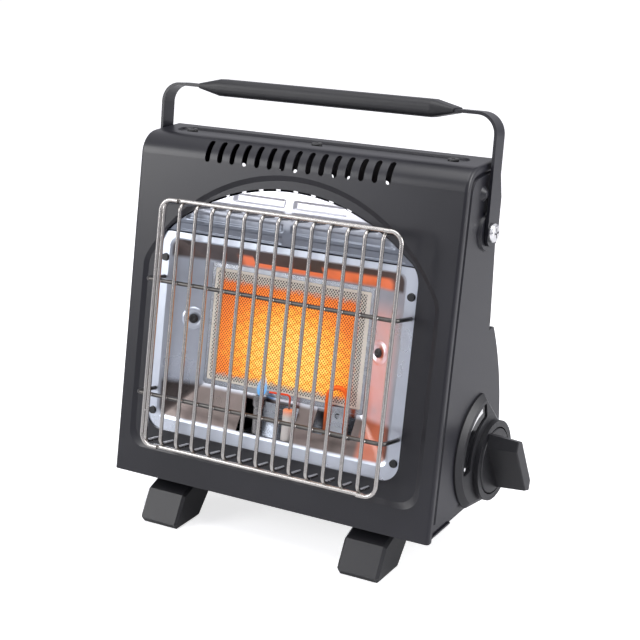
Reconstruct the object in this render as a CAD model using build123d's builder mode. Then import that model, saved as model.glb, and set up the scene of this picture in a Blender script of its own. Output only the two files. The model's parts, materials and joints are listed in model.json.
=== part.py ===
# Portable gas heater that burns gas from a cartridge lying inside its lower back.
# X runs to the right as seen from the front, Y to the back, Z up. The feet stand on z = 0.
# The front panel's bottom edge lies along y = 0, at foot height, and the panel leans back from it.

import math
import os
from build123d import *

# Body
body_width = 245.0
body_height = 230.0
foot_height = 30.0
panel_lean = 11.6
top_depth = 94.0
sheet = 1.0
hem = 1.8
wrap_width = 4.5
front_bend = 16.0
rear_bend = 7.0
corner_round = 2.2
gap = 0.3
running_gap = 0.05
screw_gap = 0.1

# Embossed arch and opening of the front panel
emboss_half_width = 112.5
emboss_bottom = 19.0
emboss_shoulder = 150.0
emboss_top = 218.0
emboss_depth = 1.5
emboss_slope = 3.5
opening_half_width = 98.0
opening_bottom = 34.0
opening_shoulder = 168.0
opening_top = 208.8
panel_corner = 12.0

# Vents and screws on top
vent_count = 15
vent_pitch = 9.7
vent_width = 4.0
vent_length = 15.5
recess_length = 220.0
recess_width = 15.0
recess_depth = 1.2
recess_y = 73.0
top_screw_x = (-99.0, 0.0, 99.0)
screw_radius = 1.9
screw_head_radius = 3.6
screw_head_height = 1.6

# Side panels
field_border = 6.5
rear_notch_z = 121.0
side_rear_radius = 152.0
side_rear_reach = 104.5
side_rear_level = 50.0
side_bottom_z = 4.2
pivot_y = 73.5
pivot_z = 186.0
pivot_boss_radius = 12.5
pivot_boss_height = 1.7
stop_y = 68.0
stop_z = 211.5
stop_radius = 5.2
stop_height = 2.5

# Handle
handle_lean = 8.6
handle_thickness = 2.0
handle_upper_width = 12.4
handle_lower_width = 16.5
handle_front_reach = 6.4
handle_rise = 74.4
handle_step_rise = 28.0
handle_corner = 14.0
grip_half_length = 96.0
grip_depth = 17.0
grip_height = 11.5
grip_taper = 16.0
pivot_screw_radius = 2.5
pivot_head_radius = 6.2
pivot_head_height = 3.0

# Reflector, measured on the front panel's plane
unit_x = -2.5
flange_depth = 2.6
reflector_sheet = 0.7
box_left, box_right, box_bottom, box_top = -93.5, 87.0, 42.0, 167.0
frame_left, frame_right, frame_bottom, frame_top = -64.5, 60.0, 69.5, 153.5
frame_depth = 14.0
flange_screw_x, flange_screw_low, flange_screw_high = 93.8, 46.1, 152.7
flange_screw_radius = 2.8
hood_radius = 40.0
hood_apex_v = 184.0
hood_apex_depth = 1.0

# Burner
plaque_width = 119.5
plaque_height = 76.8
plaque_depth = 11.0
housing_wall = 1.2
housing_low_depth = 26.0
housing_full_depth = 42.0
housing_slope_rise = 24.0
tube_radius = 7.0
tube_wall = 0.8
tube_level = 120.0
tube_depth = 33.5
tube_end_x = 101.0

# Pilot group
pilot_x = -15.0
plug_x = 8.5
sensor_left_x, sensor_right_x = 36.0, 50.5
pilot_floor = 43.0
pilot_plate = 1.2

# Grille
guard_depth = -18.0
guard_wire = 1.4
guard_rod = 1.3
guard_rod_count = 14
guard_rod_first = -84.6
guard_rod_pitch = 12.6
guard_low, guard_high = 29.5, 191.5
guard_left, guard_right = -96.2, 92.4
guard_leg_low, guard_leg_high = 61.6, 139.2
guard_frame_left, guard_frame_right = -87.4, 92.0
guard_hook = 15.0

# Gas cartridge, its cradle and cover
cartridge_radius = 34.0
cartridge_length = 190.0
cartridge_left = -105.0
cartridge_y = 76.0
cartridge_z = 45.0
cover_sheet = 1.0
cover_radius = 160.0
cover_half_width = 119.3
cover_bottom_z = 3.6
cover_lip = 9.0
hinge_y = 91.0
hinge_z = 118.5
hinge_rod_radius = 1.5
knuckle_radius = 2.8

# Shield between the burner and the cartridge
shield_sheet = 0.6
shield_y = 39.1
shield_knee_z = 58.0
shield_right = 98.0

# Tray
tray_sheet = 1.2
tray_z = 1.0
tray_lip = 14.0
tray_rear = 96.0

# Feet
foot_spacing = 156.0
foot_width = 30.5
foot_screw_y = 22.0

# Knob, bezel and valve
knob_y = 82.5
knob_z = 28.8
bezel_round_radius = 28.4
bezel_fan_y, bezel_fan_z = 80.0, 33.0
bezel_plate = 4.2
bezel_collar_top = 7.6
collar_outer, collar_inner = 27.0, 22.7
window_inner, window_outer = 28.4, 39.0
knob_disc_radius = 21.9
knob_disc_top = 8.1
knob_top = 28.5
knob_half_length = 25.6
knob_shoulder = 19.3
knob_half_width = 6.4
knob_turn = 26.6
shaft_radius = 3.0
valve_left, valve_right = 88.0, 117.0

# Values worked out from the ones above
half = body_width / 2
sin_lean = math.sin(math.radians(panel_lean))
cos_lean = math.cos(math.radians(panel_lean))
panel_plane = Plane(origin=(0, 0, foot_height), x_dir=(1, 0, 0), z_dir=(0, -cos_lean, sin_lean))
bend_corner = (body_height * sin_lean / cos_lean, body_height)
side_outer = half - hem
parts = []


def behind(depth):
    """Plane parallel to the front panel, this far behind its outer face."""
    return panel_plane.offset(-depth)


def across(x):
    """Upright plane across the body at x, with local axes Y and Z above the body's bottom edge."""
    return Plane(origin=(x, 0, foot_height), x_dir=(0, 1, 0), z_dir=(1, 0, 0))


def level(z):
    """Flat plane at this height above the body's bottom edge."""
    return Plane.XY.offset(foot_height + z)


def world_point(u, v, depth):
    """A point given on the front panel, in the body's frame."""
    return (u, depth * cos_lean + v * sin_lean, foot_height + v * cos_lean - depth * sin_lean)


def depth_profile(u):
    """Plane across the body at u, with local axes depth behind the panel and height on it."""
    return Plane(origin=(u, 0, foot_height), x_dir=(0, cos_lean, -sin_lean), z_dir=(1, 0, 0))


def offset_points(points, distance):
    """The points of a polyline moved to its right by a distance, with mitred corners."""
    moved = []
    for i, (x, y) in enumerate(points):
        normals = []
        for a, b in ((i - 1, i), (i, i + 1)):
            if a >= 0 and b < len(points):
                dx, dy = points[b][0] - points[a][0], points[b][1] - points[a][1]
                length = math.hypot(dx, dy)
                normals.append((dy / length, -dx / length))
        nx = sum(n[0] for n in normals)
        ny = sum(n[1] for n in normals)
        scale = 2 / (nx * nx + ny * ny) if len(normals) == 2 else 1
        moved.append((x + nx * distance * scale, y + ny * distance * scale))
    return moved


def strip_face(points, thickness, radii=()):
    """Face of a bent sheet whose outer side follows the points and whose body lies to their right."""
    inner = offset_points(points, thickness)
    with BuildSketch(Plane.XY) as strip:
        with BuildLine():
            if radii:
                turns = []
                for i in range(1, len(points) - 1):
                    (ax, ay), (bx, by), (cx, cy) = points[i - 1], points[i], points[i + 1]
                    turns.append((bx - ax) * (cy - by) - (by - ay) * (cx - bx))
                inside = [r - thickness if t < 0 else r + thickness for r, t in zip(radii, turns)]
                FilletPolyline(*points, radius=list(radii))
                FilletPolyline(*inner, radius=[max(r, 0.2) for r in inside])
            else:
                Polyline(*points)
                Polyline(*inner)
            Line(points[0], inner[0])
            Line(points[-1], inner[-1])
        make_face()
    return strip.sketch


def keep(builder, name):
    """Labels a finished piece for export."""
    builder.part.label = name
    parts.append(builder.part)


def arch(half_width, bottom, shoulder, top, corner, centre_x=0.0):
    """Outline with a flat bottom, straight sides and a round arch above the shoulders."""
    with BuildSketch(Plane.XY) as outline:
        with BuildLine():
            left, right = centre_x - half_width, centre_x + half_width
            Polyline((left, shoulder), (left, bottom), (right, bottom), (right, shoulder))
            ThreePointArc((right, shoulder), (centre_x, top), (left, shoulder))
        make_face()
        low = outline.vertices().filter_by_position(Axis.Y, bottom - 1, bottom + 1)
        fillet(low, corner)
        high = outline.vertices().filter_by_position(Axis.Y, shoulder - 1, shoulder + 1)
        fillet(high, corner + 6)
    return outline.sketch


# Front shell: hem, leaning front, top and a short lip down the back in one sheet
emboss = arch(emboss_half_width, emboss_bottom, emboss_shoulder, emboss_top, panel_corner)
emboss_floor = arch(
    emboss_half_width - emboss_slope,
    emboss_bottom + emboss_slope,
    emboss_shoulder,
    emboss_top - emboss_slope,
    panel_corner,
)
opening = arch(opening_half_width, opening_bottom, opening_shoulder, opening_top, panel_corner, unit_x)

lip_z = body_height - 14


def body_section(inset, bottom):
    """Side view of the whole body, moved inwards by an inset, with its lower edge at the bottom given."""
    lean_run = sin_lean / cos_lean
    front_run = inset / cos_lean
    low = (bottom * lean_run + front_run, bottom)
    high = ((body_height - inset) * lean_run + front_run, body_height - inset)
    rear = top_depth - inset
    with BuildSketch(Plane.XY) as outline:
        with BuildLine():
            Polyline(low, high, (rear, body_height - inset), (rear, bottom), close=True)
        make_face()
        fillet(outline.vertices().sort_by_distance(high)[0], front_bend - inset)
        fillet(outline.vertices().sort_by_distance((rear, body_height - inset))[0], rear_bend - inset)
    return outline.sketch


with BuildPart() as front_shell:
    with BuildSketch(across(-half)):
        add(body_section(0, 0))
    extrude(amount=body_width)
    ends = front_shell.faces().filter_by(Axis.X)
    rims = [e for e in ends.edges() if e.center().Z > foot_height + 1 and e.center().Y < top_depth - 0.5]
    fillet(rims, corner_round)
    with BuildSketch(across(-half + hem)):
        add(body_section(sheet, sheet))
    extrude(amount=body_width - 2 * hem, mode=Mode.SUBTRACT)
    with BuildSketch(across(-half)):
        add(body_section(wrap_width, -1))
    extrude(amount=body_width, mode=Mode.SUBTRACT)
    with BuildSketch(across(-half)):
        with Locations((top_depth - 2, lip_z / 2)):
            Rectangle(8, lip_z)
        with Locations((9 + 50, 0)):
            Rectangle(100, 4)
    extrude(amount=body_width, mode=Mode.SUBTRACT)
    with BuildSketch(behind(0.5)):
        add(emboss)
    extrude(amount=-(emboss_depth + sheet - 0.5))
    with BuildSketch(behind(0)):
        add(emboss)
    with BuildSketch(behind(emboss_depth)):
        add(emboss_floor)
    loft(mode=Mode.SUBTRACT)
    with BuildSketch(behind(-1)):
        add(opening)
    extrude(amount=-10, mode=Mode.SUBTRACT)
    slot_mid = (bend_corner[0] + 1.5, bend_corner[1] - 7.7)
    slot_plane = Plane(
        origin=(0, slot_mid[0], foot_height + slot_mid[1]),
        x_dir=(0, 0.5702, 0.8215),
        z_dir=(0, -0.8215, 0.5702),
    )
    with BuildSketch(slot_plane):
        with GridLocations(1, vent_pitch, 1, vent_count):
            SlotOverall(vent_length, vent_width)
    extrude(amount=8, both=True, mode=Mode.SUBTRACT)
    with BuildSketch(level(body_height - 0.5)):
        with Locations((0, recess_y)):
            SlotOverall(recess_length + 3, recess_width + 3)
    extrude(amount=-(recess_depth + sheet - 0.5))
    with BuildSketch(level(body_height)):
        with Locations((0, recess_y)):
            SlotOverall(recess_length, recess_width)
    extrude(amount=-recess_depth, taper=35, mode=Mode.SUBTRACT)
    with Locations([(x, recess_y, foot_height + body_height) for x in top_screw_x]):
        Cylinder(screw_radius + screw_gap, 20, mode=Mode.SUBTRACT)
keep(front_shell, "front_shell")


def side_outline(inset):
    """Side view of a side panel, moved inwards by an inset."""
    front = [(side_bottom_z * sin_lean / cos_lean, side_bottom_z), bend_corner, (top_depth, body_height)]
    low_front, high_front = front[0], front[1]
    reach = inset / cos_lean
    rear_x = top_depth - 0.4 - inset
    arc_radius = side_rear_radius - inset
    arc_centre = side_rear_reach - side_rear_radius
    notch = rear_notch_z + inset * 0.6

    def arc_y(z):
        return arc_centre + math.sqrt(arc_radius**2 - (z - side_rear_level) ** 2)

    bottom = side_bottom_z + (inset - sheet if inset > sheet else 0)
    top = body_height - inset
    start = (bottom * sin_lean / cos_lean + reach, bottom)
    corner = (top * sin_lean / cos_lean + reach, top)
    with BuildSketch(Plane.XY) as outline:
        with BuildLine():
            Polyline(start, corner, (rear_x, top), (rear_x, 171), (90.2 - inset, notch))
            Line((90.2 - inset, notch), (arc_y(notch - 5), notch - 5))
            ThreePointArc((arc_y(notch - 5), notch - 5), (arc_y(50), 50), (arc_y(bottom), bottom))
            Line((arc_y(bottom), bottom), start)
        make_face()
        fillet(outline.vertices().sort_by_distance(corner)[0], max(front_bend - inset * 0.6, 8))
        fillet(outline.vertices().sort_by_distance((rear_x, top))[0], max(rear_bend - inset, 5))
    return outline.sketch


def make_side_panel(name, side, with_knob):
    """Side panel on side 1 or -1: a flat sheet with a raised field, a pivot ring and a stop dimple."""
    base = side * (side_outer - sheet)
    with BuildPart() as panel:
        with BuildSketch(across(base)):
            add(side_outline(sheet + 0.1))
        extrude(amount=side * sheet)
        with BuildSketch(across(side * side_outer)):
            add(side_outline(field_border))
        extrude(amount=side * hem, taper=30)
        with BuildSketch(across(base)):
            add(side_outline(field_border + 1.4))
        extrude(amount=side * hem, mode=Mode.SUBTRACT)
        with BuildSketch(across(side * (half - 0.3))):
            with Locations((pivot_y, pivot_z)):
                Circle(pivot_boss_radius)
        extrude(amount=side * (pivot_boss_height + 0.3), taper=25)
        with BuildSketch(across(side * (half - 0.3))):
            with Locations((stop_y, stop_z)):
                Circle(stop_radius)
        extrude(amount=side * (stop_height + 0.3), taper=48)
        with BuildSketch(across(base)):
            with Locations((pivot_y, pivot_z)):
                Circle(pivot_screw_radius + screw_gap)
        extrude(amount=side * 12, mode=Mode.SUBTRACT)
        if with_knob:
            with BuildSketch(across(base)):
                with Locations((knob_y, knob_z)):
                    Circle(shaft_radius + 2)
            extrude(amount=side * 12, mode=Mode.SUBTRACT)
    keep(panel, name)


make_side_panel("side_panel_right", 1, True)
make_side_panel("side_panel_left", -1, False)

# Back panel: closes the upper back and carries the fixed knuckles of the cover's hinge
inner_half = side_outer - sheet - gap
recess_underside = body_height - recess_depth - sheet
back_line = [
    (62, recess_underside),
    (top_depth - sheet - 0.1, recess_underside),
    (top_depth - sheet - 0.5, 171),
    (hinge_y - 1.0, hinge_z + 4.0),
    (hinge_y - 8.0, hinge_z + 4.0),
]


def hinge_ring(outer, x_from, x_to, web_points):
    """Length of rolled knuckle round the hinge rod, with the web that joins it to its sheet."""
    with BuildPart() as ring:
        with BuildSketch(across(x_from)):
            with Locations((hinge_y, hinge_z)):
                Circle(outer)
            with BuildLine():
                Polyline(*web_points, close=True)
            make_face()
            with Locations((hinge_y, hinge_z)):
                Circle(hinge_rod_radius + running_gap, mode=Mode.SUBTRACT)
        extrude(amount=x_to - x_from)
    return ring.part


fixed_spans = ((-62.0, -26.0), (26.0, 62.0))
moving_spans = ((-118.0, -62.5), (-25.5, 25.5), (62.5, 118.0))
fixed_web = [
    (hinge_y - knuckle_radius, hinge_z),
    (hinge_y - 1.6, hinge_z + 1.5),
    (hinge_y - 1.4, hinge_z + 4.6),
    (hinge_y - knuckle_radius, hinge_z + 4.6),
]
with BuildPart() as back_panel:
    with BuildSketch(across(-inner_half)):
        add(strip_face(back_line, sheet, (rear_bend, 6.0, 1.5)))
    extrude(amount=2 * inner_half)
    for x_from, x_to in fixed_spans:
        add(hinge_ring(knuckle_radius, x_from, x_to, fixed_web))
    with Locations([(x, recess_y, foot_height + body_height) for x in top_screw_x]):
        Cylinder(screw_radius + screw_gap, 20, mode=Mode.SUBTRACT)
    with BuildSketch(Plane(origin=(0, 130, foot_height + 193), x_dir=(1, 0, 0), z_dir=(0, -1, 0))):
        with GridLocations(14, 1, 13, 1):
            SlotOverall(26, 4, rotation=90)
    extrude(amount=60, mode=Mode.SUBTRACT)
keep(back_panel, "back_panel")

with BuildPart() as top_screws:
    floor_z = foot_height + body_height - recess_depth
    for x in top_screw_x:
        with Locations((x, recess_y, floor_z)):
            head_align = (Align.CENTER, Align.CENTER, Align.MIN)
            Cylinder(screw_head_radius, screw_head_height, align=head_align)
            shank_align = (Align.CENTER, Align.CENTER, Align.MAX)
            Cylinder(screw_radius, 8, align=shank_align)
    fillet(top_screws.faces().filter_by(Plane.XY).group_by(Axis.Z)[-1].edges(), 0.8)
    with BuildSketch(Plane.XY.offset(floor_z + screw_head_height)):
        for x in top_screw_x:
            with Locations((x, recess_y)):
                Rectangle(3.6, 0.8)
                Rectangle(0.8, 3.6)
    extrude(amount=-0.9, mode=Mode.SUBTRACT)
keep(top_screws, "top_screws")

# Base tray: floor plate with upturned lips, a rear lip and the shield's foot strip
with BuildPart() as base_tray:
    tray_half = side_outer - sheet - 0.05
    with BuildSketch(level(tray_z)):
        with Locations((0, (3.2 + tray_rear) / 2)):
            Rectangle(2 * tray_half, tray_rear - 3.2)
        with Locations((0, 20)):
            Rectangle(2 * (half - 1.2), 28)
    extrude(amount=tray_sheet)
    with BuildSketch(level(tray_z)):
        for side in (-1, 1):
            with Locations((side * (tray_half - tray_sheet / 2), 40)):
                Rectangle(tray_sheet, 60)
        with Locations((0, tray_rear - tray_sheet / 2)):
            Rectangle(2 * tray_half, tray_sheet)
    extrude(amount=tray_lip)
    foot_holes = [
        (side * foot_spacing / 2, y) for side in (-1, 1) for y in (foot_screw_y, tray_rear - foot_screw_y)
    ]
    with BuildSketch(level(tray_z)):
        with Locations(*foot_holes):
            Circle(screw_radius + screw_gap)
    extrude(amount=tray_sheet, mode=Mode.SUBTRACT)
keep(base_tray, "base_tray")

# Feet
foot_line = [(-9, -foot_height), (-12, -26), (-1, -8), (11, -3.5), (11, tray_z), (37, tray_z)]
foot_screw_head_z = -5.0


def make_foot(name, x, rear):
    """Foot with a sloped outer face and a hollow curve behind, mirrored for the rear pair."""
    with BuildPart() as foot:
        with BuildSketch(across(x - foot_width / 2)):
            with BuildLine():
                Polyline(*foot_line)
                Line((37, tray_z), (37, -6))
                ThreePointArc((37, -6), (26.5, -17), (14, -foot_height))
                Line((14, -foot_height), foot_line[0])
            make_face()
        extrude(amount=foot_width)
        straight = foot.edges().filter_by(GeomType.LINE)
        rims = [e for e in straight if abs(e.center().X - x) > foot_width / 2 - 0.1]
        slopes = [e for e in rims if e.center().Y < 8 and e.center().Z < foot_height - 4]
        chamfer(slopes, 1.8)
        with Locations((x, foot_screw_y, foot_height + tray_z)):
            Hole(screw_radius + screw_gap)
        with Locations((x, foot_screw_y, foot_height + foot_screw_head_z)):
            Cylinder(4.5, 30, align=(Align.CENTER, Align.CENTER, Align.MAX), mode=Mode.SUBTRACT)
        if rear:
            middle = Plane.XZ.offset(-tray_rear / 2)
            mirror(about=middle, mode=Mode.REPLACE)
    keep(foot, name)


for place, rear in (("front", False), ("rear", True)):
    for label, side in (("left", -1), ("right", 1)):
        make_foot(f"foot_{place}_{label}", side * foot_spacing / 2, rear)

with BuildPart() as foot_screws:
    for x, y in foot_holes:
        with Locations((x, y, foot_height + foot_screw_head_z)):
            Cylinder(screw_head_radius, 1.8, align=(Align.CENTER, Align.CENTER, Align.MAX))
            Cylinder(screw_radius, 11, align=(Align.CENTER, Align.CENTER, Align.MIN))
keep(foot_screws, "foot_screws")

# Reflector: flange, four sloping walls and windows for the pilot group


def panel_rectangle(left, right, bottom, top, corner, grow=0.0):
    """Rounded rectangle given by its sides on the panel."""
    with BuildSketch(Plane.XY) as outline:
        with Locations(((left + right) / 2, (bottom + top) / 2)):
            RectangleRounded(right - left + 2 * grow, top - bottom + 2 * grow, corner + grow)
    return outline.sketch


box_sides = (box_left, box_right, box_bottom, box_top)
frame_sides = (frame_left, frame_right, frame_bottom, frame_top)
flange_sides = (unit_x - 100.5, unit_x + 100.5, opening_bottom - 3, 171.0)
screw_spots = [
    (unit_x + side * flange_screw_x, v) for side in (-1, 1) for v in (flange_screw_low, flange_screw_high)
]
leg_spots = [(u, v) for u in (guard_left, guard_right) for v in (guard_leg_low, guard_leg_high)]

with BuildPart() as reflector:
    with BuildSketch(behind(flange_depth)):
        add(panel_rectangle(*flange_sides, 9))
    extrude(amount=-reflector_sheet)
    with BuildSketch(behind(flange_depth)):
        add(panel_rectangle(*box_sides, 6, reflector_sheet))
    with BuildSketch(behind(frame_depth + reflector_sheet)):
        add(panel_rectangle(*frame_sides, 2, reflector_sheet))
    loft()
    with BuildSketch(behind(flange_depth)):
        add(panel_rectangle(*box_sides, 6))
    with BuildSketch(behind(frame_depth)):
        add(panel_rectangle(*frame_sides, 2))
    loft(mode=Mode.SUBTRACT)
    with BuildSketch(behind(frame_depth - 0.5)):
        add(panel_rectangle(*frame_sides, 2, -0.05))
    extrude(amount=-3, mode=Mode.SUBTRACT)
    with BuildSketch(behind(flange_depth)):
        with Locations(*screw_spots):
            Circle(screw_radius + screw_gap)
        with Locations(*leg_spots):
            Circle(guard_wire + screw_gap)
    extrude(amount=-reflector_sheet, mode=Mode.SUBTRACT)
    with BuildSketch(Plane(origin=world_point(0, 80, 0), x_dir=(1, 0, 0), z_dir=panel_plane.y_dir)):
        with Locations((-7.3, 8.4)):
            Rectangle(42, 9.9)
        with Locations((41.5, 10.6)):
            Rectangle(29, 6.6)
    extrude(amount=-50, mode=Mode.SUBTRACT)
    with BuildSketch(behind(6.5)):
        with Locations((-4, 172)):
            Rectangle(54, 16)
    extrude(amount=-3.5, mode=Mode.SUBTRACT)
    with BuildSketch(depth_profile(-120)):
        with Locations((10, 113)):
            Circle(1.6)
    extrude(amount=240, mode=Mode.SUBTRACT)
keep(reflector, "reflector")

with BuildPart() as reflector_hood:
    with BuildSketch(depth_profile(-120)):
        with BuildLine():
            centre = hood_apex_depth + hood_radius
            low_v, high_v = 171.6, opening_top + 1
            rise_low, rise_high = low_v - hood_apex_v, high_v - hood_apex_v

            def hood_depth(rise, radius):
                return centre - math.sqrt(radius**2 - rise**2)

            inner_radius = hood_radius - 0.8
            outer_low = (hood_depth(rise_low, hood_radius), low_v)
            outer_high = (hood_depth(rise_high, hood_radius), high_v)
            inner_low = (hood_depth(rise_low, inner_radius), low_v)
            inner_high = (hood_depth(rise_high, inner_radius), high_v)
            ThreePointArc(outer_low, (hood_apex_depth, hood_apex_v), outer_high)
            Line(outer_high, inner_high)
            ThreePointArc(inner_high, (hood_apex_depth + 0.8, hood_apex_v), inner_low)
            Line(inner_low, outer_low)
        make_face()
    extrude(amount=240)
    with BuildSketch(behind(-5)):
        add(arch(opening_half_width - 0.6, 100, opening_shoulder, opening_top - 0.6, 12, unit_x))
    extrude(amount=-40, mode=Mode.INTERSECT)
keep(reflector_hood, "reflector_hood")

with BuildPart() as reflector_screws:
    for u, v in screw_spots:
        with BuildSketch(behind(flange_depth)):
            with Locations((u, v)):
                Circle(flange_screw_radius)
        extrude(amount=1.5, taper=15)
        with BuildSketch(behind(flange_depth)):
            with Locations((u, v)):
                Circle(screw_radius)
        extrude(amount=-6)
keep(reflector_screws, "reflector_screws")

# Burner
plaque_x = (frame_left + frame_right) / 2
plaque_v = (frame_bottom + frame_top) / 2
plaque_sides = (
    plaque_x - plaque_width / 2,
    plaque_x + plaque_width / 2,
    plaque_v - plaque_height / 2,
    plaque_v + plaque_height / 2,
)

with BuildPart() as burner_frame:
    with BuildSketch(behind(frame_depth)):
        add(panel_rectangle(*frame_sides, 1.5, -0.3))
        add(panel_rectangle(*plaque_sides, 1, 0.2), mode=Mode.SUBTRACT)
    extrude(amount=-1.4)
keep(burner_frame, "burner_frame")

with BuildPart() as burner_plaque:
    with BuildSketch(behind(frame_depth + 0.1)):
        add(panel_rectangle(*plaque_sides, 1))
    extrude(amount=-plaque_depth)
keep(burner_plaque, "burner_plaque")

housing_front = frame_depth + 1.4
housing_low = plaque_sides[2] - 0.3 - housing_wall
housing_high = plaque_sides[3] + 0.3 + housing_wall
housing_line = [
    (housing_front, housing_low),
    (housing_low_depth, housing_low),
    (housing_full_depth, housing_low + housing_slope_rise),
    (housing_full_depth, housing_high),
    (housing_front, housing_high),
]
housing_inner = [
    (housing_front, housing_low + housing_wall),
    (housing_low_depth - 0.5, housing_low + housing_wall),
    (housing_full_depth - housing_wall, housing_low + housing_slope_rise + 0.6),
    (housing_full_depth - housing_wall, housing_high - housing_wall),
    (housing_front, housing_high - housing_wall),
]
tube_spot = (tube_depth, tube_level)
with BuildPart() as burner_housing:
    with BuildSketch(depth_profile(plaque_sides[0] - 0.3 - housing_wall)):
        with BuildLine():
            Polyline(*housing_line, close=True)
        make_face()
    extrude(amount=plaque_width + 0.6 + 2 * housing_wall)
    with BuildSketch(depth_profile(plaque_sides[0] - 0.3)):
        with BuildLine():
            Polyline(*housing_inner, close=True)
        make_face()
    extrude(amount=plaque_width + 0.6, mode=Mode.SUBTRACT)
    with BuildSketch(depth_profile(plaque_sides[1] - 2)):
        with Locations(tube_spot):
            Circle(tube_radius + 0.05)
    extrude(amount=10, mode=Mode.SUBTRACT)
keep(burner_housing, "burner_housing")

with BuildPart() as mixing_tube:
    with BuildSketch(depth_profile(20)):
        with Locations(tube_spot):
            Circle(tube_radius)
            Circle(tube_radius - tube_wall, mode=Mode.SUBTRACT)
    extrude(amount=tube_end_x - 20)
    with BuildSketch(Plane(origin=world_point(tube_end_x - 8, tube_level, tube_depth), z_dir=(0, 0, 1))):
        Circle(3)
    extrude(amount=20, both=True, mode=Mode.SUBTRACT)
keep(mixing_tube, "mixing_tube")

with BuildPart() as injector:
    with BuildSketch(depth_profile(tube_end_x - 12)):
        with Locations(tube_spot):
            Circle(2.2)
    extrude(amount=12)
    with BuildSketch(depth_profile(tube_end_x)):
        with Locations(tube_spot):
            Circle(tube_radius + 0.6)
    extrude(amount=3)
    with BuildSketch(depth_profile(tube_end_x + 3)):
        with Locations(tube_spot):
            RegularPolygon(5, 6)
    extrude(amount=7)
keep(injector, "injector")

# Pilot group on its bracket under the reflector's floor
floor_v = pilot_floor + pilot_plate
pilot_plane = Plane(
    origin=world_point(0, floor_v, 0), x_dir=(1, 0, 0), z_dir=(0, sin_lean, cos_lean)
)
with BuildPart() as pilot_bracket:
    with BuildSketch(Plane(origin=world_point(0, pilot_floor, 0), x_dir=(1, 0, 0), z_dir=pilot_plane.z_dir)):
        with Locations((14, 15.5)):
            Rectangle(84, 20)
    extrude(amount=pilot_plate)
    with BuildSketch(behind(housing_low_depth - 2.2)):
        with Locations((14, (pilot_floor + housing_low) / 2)):
            Rectangle(84, housing_low - pilot_floor)
    extrude(amount=-pilot_plate)
    with BuildSketch(behind(11.2)):
        with Locations(((sensor_left_x + sensor_right_x) / 2, 58)):
            Rectangle(11, 29)
    extrude(amount=-1.2)
    with BuildSketch(behind(11.2)):
        with Locations(((sensor_left_x + sensor_right_x) / 2, 66.7)):
            Circle(1.9)
    extrude(amount=-1.2, mode=Mode.SUBTRACT)
keep(pilot_bracket, "pilot_bracket")

with BuildPart() as pilot_burner:
    with BuildSketch(pilot_plane):
        with Locations((pilot_x, 8.6)):
            Circle(3.6)
    extrude(amount=19)
    with BuildSketch(pilot_plane.offset(19)):
        with Locations((pilot_x, 8.6)):
            Circle(4.4)
            Circle(2.8, mode=Mode.SUBTRACT)
    extrude(amount=7)
keep(pilot_burner, "pilot_burner")

plug_spot = (plug_x, 8.2)
with BuildPart() as spark_plug:
    with BuildSketch(pilot_plane):
        with Locations(plug_spot):
            Circle(3.9)
    extrude(amount=21)
    fillet(spark_plug.edges().group_by(Axis.Z)[-1], 1.2)
    with BuildSketch(pilot_plane):
        with Locations(plug_spot):
            Circle(0.75)
    extrude(amount=21.5, mode=Mode.SUBTRACT)
keep(spark_plug, "spark_plug")

electrode_line = [
    world_point(plug_x, floor_v, 8.2),
    world_point(plug_x, 74.5, 8.2),
    world_point(-7, 74.0, 7.0),
]
with BuildPart() as spark_electrode:
    with BuildLine() as electrode_path:
        FilletPolyline(*electrode_line, radius=2.5)
    with BuildSketch(Plane(origin=electrode_path.line @ 0, z_dir=electrode_path.line % 0)):
        Circle(0.7)
    sweep()
keep(spark_electrode, "spark_electrode")

sensor_depth = 9.4
sensor_mid = (sensor_left_x + sensor_right_x) / 2
sensor_bend = (sensor_right_x - sensor_left_x) / 2
with BuildPart() as flame_sensor:
    with BuildLine() as sensor_path:
        rise = 78.5
        left_foot = world_point(sensor_left_x, floor_v, sensor_depth)
        left_top = world_point(sensor_left_x, rise, sensor_depth)
        crown = world_point(sensor_mid, rise + sensor_bend, sensor_depth)
        right_top = world_point(sensor_right_x, rise, sensor_depth)
        right_foot = world_point(sensor_right_x, floor_v, sensor_depth)
        Line(left_foot, left_top)
        ThreePointArc(left_top, crown, right_top)
        Line(right_top, right_foot)
    with BuildSketch(Plane(origin=sensor_path.line @ 0, z_dir=sensor_path.line % 0)):
        Circle(1.6)
    sweep()
keep(flame_sensor, "flame_sensor")

# Grille: rods welded to two bowed legs, with a rail and a round-cornered end wire on each side.
# The wires sink a little into one another at each weld, so each group is cut back to touch the next


def wire(points, radius, bends):
    """Round wire along panel points (u, v, depth) with a bend radius at each corner."""
    with BuildPart() as made:
        with BuildLine() as path:
            FilletPolyline(*[world_point(*p) for p in points], radius=bends)
        with BuildSketch(Plane(origin=path.line @ 0, z_dir=path.line % 0)):
            Circle(radius)
        sweep()
    return made.part


rod_depth = guard_depth - guard_wire - guard_rod + 0.3
rail_depth = guard_depth - 0.2
leg_end = flange_depth + reflector_sheet + 4
rail_high = guard_high + guard_rod + guard_wire - 0.5
rail_low = guard_low - guard_rod - guard_wire + 0.5
end_arm = 13.0
with BuildPart() as grille_frame:
    for v in (rail_low, rail_high):
        with BuildSketch(Plane(origin=world_point(guard_frame_left + 9, v, rail_depth), z_dir=(1, 0, 0))):
            Circle(guard_wire)
        extrude(amount=guard_frame_right - guard_frame_left - 18)
    for u, turn in ((guard_frame_left, 1), (guard_frame_right, -1)):
        ends = [
            (u + turn * end_arm, rail_high, rod_depth),
            (u, rail_high, rod_depth),
            (u, rail_low, rod_depth),
            (u + turn * end_arm, rail_low, rod_depth),
        ]
        add(wire(ends, guard_wire, 8))
keep(grille_frame, "grille_frame")

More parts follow.
